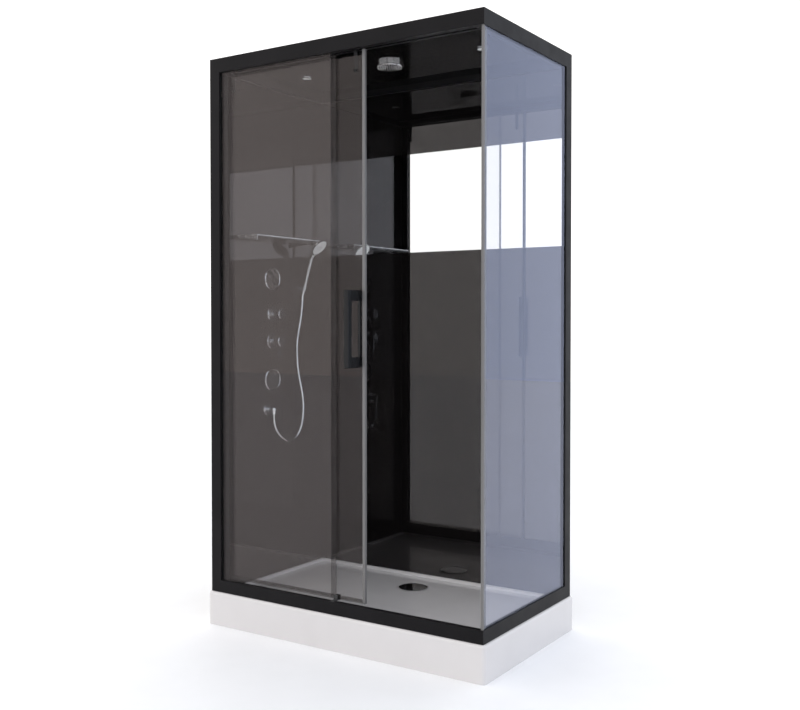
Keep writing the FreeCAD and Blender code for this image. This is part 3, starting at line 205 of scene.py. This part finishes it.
def clear(name, tint, sheen, gloss_tone, cloud=0.0, cloud_tone=(0.8, 0.8, 0.8), rough=0.01):
    """Clear sheet: tinted, with a mirror share that grows towards grazing angles, and a cloud if asked."""
    material, tree, output = node_tree(name)
    through = tree.nodes.new("ShaderNodeBsdfTransparent")
    tree.links.new(shade(tree, noise(tree, TINT_WAVES), *tint), through.inputs["Color"])
    gloss = tree.nodes.new("ShaderNodeBsdfGlossy")
    gloss.inputs["Color"].default_value = (*gloss_tone, 1.0)
    wipes = spread(tree, noise(tree, WIPE_WAVES), rough * SMOOTHEST, rough)
    tree.links.new(wipes, gloss.inputs["Roughness"])
    facing = tree.nodes.new("ShaderNodeLayerWeight")
    facing.inputs["Blend"].default_value = FACING_BLEND
    power = tree.nodes.new("ShaderNodeMath")
    power.operation = "POWER"
    power.inputs[1].default_value = GRAZING_POWER
    tree.links.new(facing.outputs["Facing"], power.inputs[0])
    share = tree.nodes.new("ShaderNodeMapRange")
    share.inputs["To Min"].default_value = sheen
    share.inputs["To Max"].default_value = 1.0
    tree.links.new(power.outputs["Value"], share.inputs["Value"])
    mix = tree.nodes.new("ShaderNodeMixShader")
    tree.links.new(share.outputs["Result"], mix.inputs["Fac"])
    tree.links.new(through.outputs["BSDF"], mix.inputs[1])
    tree.links.new(gloss.outputs["BSDF"], mix.inputs[2])
    last = mix.outputs["Shader"]
    if cloud:
        milk = tree.nodes.new("ShaderNodeBsdfDiffuse")
        milk.inputs["Color"].default_value = (*cloud_tone, 1.0)
        veil = tree.nodes.new("ShaderNodeMixShader")
        patches = spread(tree, noise(tree, CLOUD_WAVES), cloud * THINNEST_CLOUD, cloud)
        tree.links.new(patches, veil.inputs["Fac"])
        tree.links.new(last, veil.inputs[1])
        tree.links.new(milk.outputs["BSDF"], veil.inputs[2])
        last = veil.outputs["Shader"]
    tree.links.new(last, output.inputs["Surface"])
    return material


UPRIGHT = (1.0, 1.0, 0.12)
PLATED = {"metallic": 1.0, "tone_scale": 30.0, "grain": 0.006}
SATIN = {"tone_scale": 30.0, "grain": 0.01}
FLAT_SHEET = {"tone_scale": 2.0, "grain_scale": 3.0}
finishes = {}

# Tray, its frame and its waste
finishes["tray"] = surface("tray_acrylic", low=(0.652, 0.626, 0.615), high=(0.678, 0.652, 0.640),
                           rough=(0.10, 0.16), coat=0.4, grain_scale=260.0, grain=0.01)
finishes["galvanised"] = surface("galvanised_steel", low=(0.42, 0.43, 0.45), high=(0.60, 0.61, 0.63),
                                 rough=(0.32, 0.50), metallic=1.0, tone_scale=45.0, grain=0.08)
finishes["feet"] = surface("zinc_plate", low=(0.45, 0.46, 0.48), high=(0.58, 0.59, 0.60),
                           rough=(0.25, 0.40), metallic=1.0)
finishes["waste_plastic"] = surface("waste_plastic", low=(0.62, 0.62, 0.60), high=(0.70, 0.70, 0.68),
                                    rough=(0.40, 0.55), grain=0.05)

# Frame and door fittings
finishes["frame_black"] = surface("black_coat", low=(0.008, 0.0075, 0.008), high=(0.011, 0.010, 0.011),
                                  rough=(0.30, 0.42), grain_scale=1400.0, grain=0.06, ior=1.18)
finishes["fitting_black"] = surface("gloss_black_coat", low=(0.007, 0.007, 0.008), high=(0.010, 0.010, 0.011),
                                    rough=(0.14, 0.22), grain_scale=1400.0, grain=0.03, ior=1.30)
finishes["cast_keys"] = surface("cast_alloy", low=(0.40, 0.40, 0.41), high=(0.52, 0.52, 0.53),
                                rough=(0.45, 0.60), metallic=1.0)
finishes["roller_plastic"] = surface("roller_plastic", low=(0.030, 0.030, 0.030), high=(0.045, 0.045, 0.045),
                                     rough=(0.35, 0.50))

# Glass, panels and seals
finishes["clear_glass"] = clear("clear_glass", tint=((0.962, 0.962, 0.960), (0.972, 0.972, 0.970)),
                                sheen=0.0185, gloss_tone=(1.0, 0.89, 0.87))
finishes["side_glass"] = clear("side_glass", tint=((0.965, 0.970, 0.972), (0.978, 0.982, 0.984)),
                               sheen=0.097, gloss_tone=(0.75, 0.80, 1.0))
finishes["black_glass"] = surface("black_glass", low=(0.0044, 0.0038, 0.0038), high=(0.0056, 0.0049, 0.0049),
                                  rough=(0.010, 0.022), grain=0.002, ior=1.58, gloss_tint=(1.0, 0.95, 0.94),
                                  **FLAT_SHEET)
finishes["wall_glass"] = surface("wall_glass", low=(0.0044, 0.0038, 0.0038), high=(0.0056, 0.0049, 0.0049),
                                 rough=(0.010, 0.022), grain=0.002, ior=1.50, gloss_tint=(1.0, 0.88, 0.84),
                                 **FLAT_SHEET)
finishes["mirror"] = surface("mirror_silver", low=(0.94, 0.95, 0.95), high=(0.96, 0.97, 0.97),
                             rough=(0.004, 0.012), metallic=1.0, grain=0.001, **FLAT_SHEET)
finishes["mirror_paint"] = surface("mirror_paint", low=(0.050, 0.051, 0.053), high=(0.066, 0.067, 0.069),
                                   rough=(0.45, 0.60), grain_scale=500.0, grain=0.05)
finishes["roof_black"] = surface("roof_acrylic", low=(0.006, 0.0055, 0.0055), high=(0.008, 0.0075, 0.0075),
                                 rough=(0.03, 0.06), grain=0.002, **FLAT_SHEET)
finishes["gasket"] = surface("gasket_rubber", low=(0.010, 0.010, 0.010), high=(0.016, 0.016, 0.016),
                             rough=(0.6, 0.75), grain=0.08, ior=1.30)
finishes["clear_seal"] = clear("clear_seal", tint=((0.77, 0.76, 0.755), (0.83, 0.82, 0.81)), sheen=0.016,
                               gloss_tone=(1.0, 0.94, 0.91), cloud=0.05, cloud_tone=(0.22, 0.21, 0.21),
                               rough=0.2)
finishes["grey_seal"] = surface("grey_profile", low=(0.135, 0.130, 0.128), high=(0.165, 0.160, 0.158),
                                rough=(0.25, 0.38), stretch=UPRIGHT, ior=1.4)

# Shower fittings
finishes["chrome"] = surface("chrome", low=(0.64, 0.65, 0.67), high=(0.76, 0.77, 0.79),
                             rough=(0.06, 0.12), **PLATED)
# Chrome darkened to paint shade: a dim copy of the chrome that stands in for the dark surroundings these
# fittings reflect.
finishes["shaded_chrome"] = surface("shaded_chrome", low=(0.34, 0.34, 0.35), high=(0.44, 0.44, 0.45),
                                  rough=(0.05, 0.10), **PLATED)
finishes["satin_chrome"] = surface("satin_chrome", low=(0.56, 0.55, 0.55), high=(0.66, 0.65, 0.65),
                                   rough=(0.06, 0.12), metallic=1.0, **SATIN)
finishes["plated_plastic"] = surface("plated_plastic", low=(0.26, 0.27, 0.28), high=(0.36, 0.37, 0.38),
                                     rough=(0.06, 0.12), **PLATED)
finishes["hose"] = surface("hose_silver", low=(0.50, 0.51, 0.52), high=(0.60, 0.61, 0.62),
                           rough=(0.12, 0.20), metallic=1.0, tone_scale=60.0, grain_scale=900.0, grain=0.03)
finishes["jet_plastic"] = surface("jet_plastic", low=(0.05, 0.05, 0.05), high=(0.07, 0.07, 0.07),
                                  rough=(0.35, 0.50))
finishes["nozzle_plate"] = surface("nozzle_plate", low=(0.030, 0.029, 0.029), high=(0.050, 0.048, 0.048),
                                   rough=(0.20, 0.34))
finishes["handset_face"] = surface("handset_face", low=(0.66, 0.66, 0.66), high=(0.76, 0.76, 0.76),
                                   rough=(0.25, 0.40))
finishes["shelf"] = surface("shelf_black", low=(0.008, 0.008, 0.008), high=(0.012, 0.012, 0.012),
                            rough=(0.05, 0.10))
finishes["shelf_brackets"] = surface("bracket_satin", low=(0.34, 0.33, 0.33), high=(0.44, 0.43, 0.43),
                                     rough=(0.20, 0.30), metallic=0.6, **SATIN)
finishes["light_lens"] = surface("light_lens", low=(0.70, 0.70, 0.68), high=(0.78, 0.78, 0.76),
                                 rough=(0.22, 0.34))
finishes["pipes"] = surface("pipe_white", low=(0.62, 0.62, 0.61), high=(0.70, 0.70, 0.69),
                            rough=(0.30, 0.42))

# Nodes take the finish of their slot in the record, apart from those named here; the valve bodies, wall
# rings, diverter knob and mixer hub get the darkened chrome, which paints shade on them.
slot_of = {entry["node"]: entry["material_slot"] for entry in frame["record"]["subparts"]}
slot_of.update({"side_pane": "side_glass", "rain_head": "satin_chrome", "door_bolts": "fitting_black",
                "valve_bodies": "shaded_chrome", "wall_rings": "shaded_chrome", "diverter_knob": "shaded_chrome",
                "mixer_hub": "shaded_chrome", "left_wall_panel": "wall_glass", "sill_back": "black_glass",
                "sill_left": "black_glass"})
for name, piece in nodes.items():
    piece.data.materials.clear()
    piece.data.materials.append(finishes[slot_of[name]])
hose_curve.materials.append(finishes["hose"])

# The mirror band is silvered in front and painted on its back.
BACK_FACING = 0.9
mirror_sheet = nodes["mirror_band"].data
mirror_sheet.materials.append(finishes["mirror_paint"])
for face in mirror_sheet.polygons:
    if face.normal.y > BACK_FACING:
        face.material_index = 1

# ---------------------------------------------------------------- floor and light
FLOOR_REACH = 14.0
floor_mesh = bpy.data.meshes.new("floor")
floor_corners = [(x * FLOOR_REACH, y * FLOOR_REACH, 0) for x, y in ((-1, -1), (1, -1), (1, 1), (-1, 1))]
floor_mesh.from_pydata(floor_corners, [], [(0, 1, 2, 3)])
floor = bpy.data.objects.new("floor", floor_mesh)
scene.collection.objects.link(floor)
floor.data.materials.append(surface("floor_pale", low=(0.93, 0.93, 0.93), high=(0.95, 0.95, 0.95),
                                    rough=(0.6, 0.7), grain_scale=30.0, grain=0.0))

# Soft light from all round, cooler towards the cabin's right side.
WORLD_STRENGTH = 1.35
WARM_LIGHT = (1.0, 0.985, 0.98, 1.0)
COOL_LIGHT = (0.755, 0.81, 0.915, 1.0)
COOL_FROM = 0.5
world = bpy.data.worlds.new("studio")
scene.world = world
world.use_nodes = True
sky = world.node_tree
direction = sky.nodes.new("ShaderNodeTexCoord")
parts = sky.nodes.new("ShaderNodeSeparateXYZ")
sky.links.new(direction.outputs["Generated"], parts.inputs["Vector"])
light = sky.nodes.new("ShaderNodeValToRGB")
light.color_ramp.elements[0].position = 0.0
light.color_ramp.elements[0].color = WARM_LIGHT
light.color_ramp.elements[1].position = COOL_FROM
light.color_ramp.elements[1].color = COOL_LIGHT
sky.links.new(parts.outputs["X"], light.inputs["Fac"])
sky.links.new(light.outputs["Color"], sky.nodes["Background"].inputs["Color"])
sky.nodes["Background"].inputs["Strength"].default_value = WORLD_STRENGTH

scene.view_settings.view_transform = "Standard"
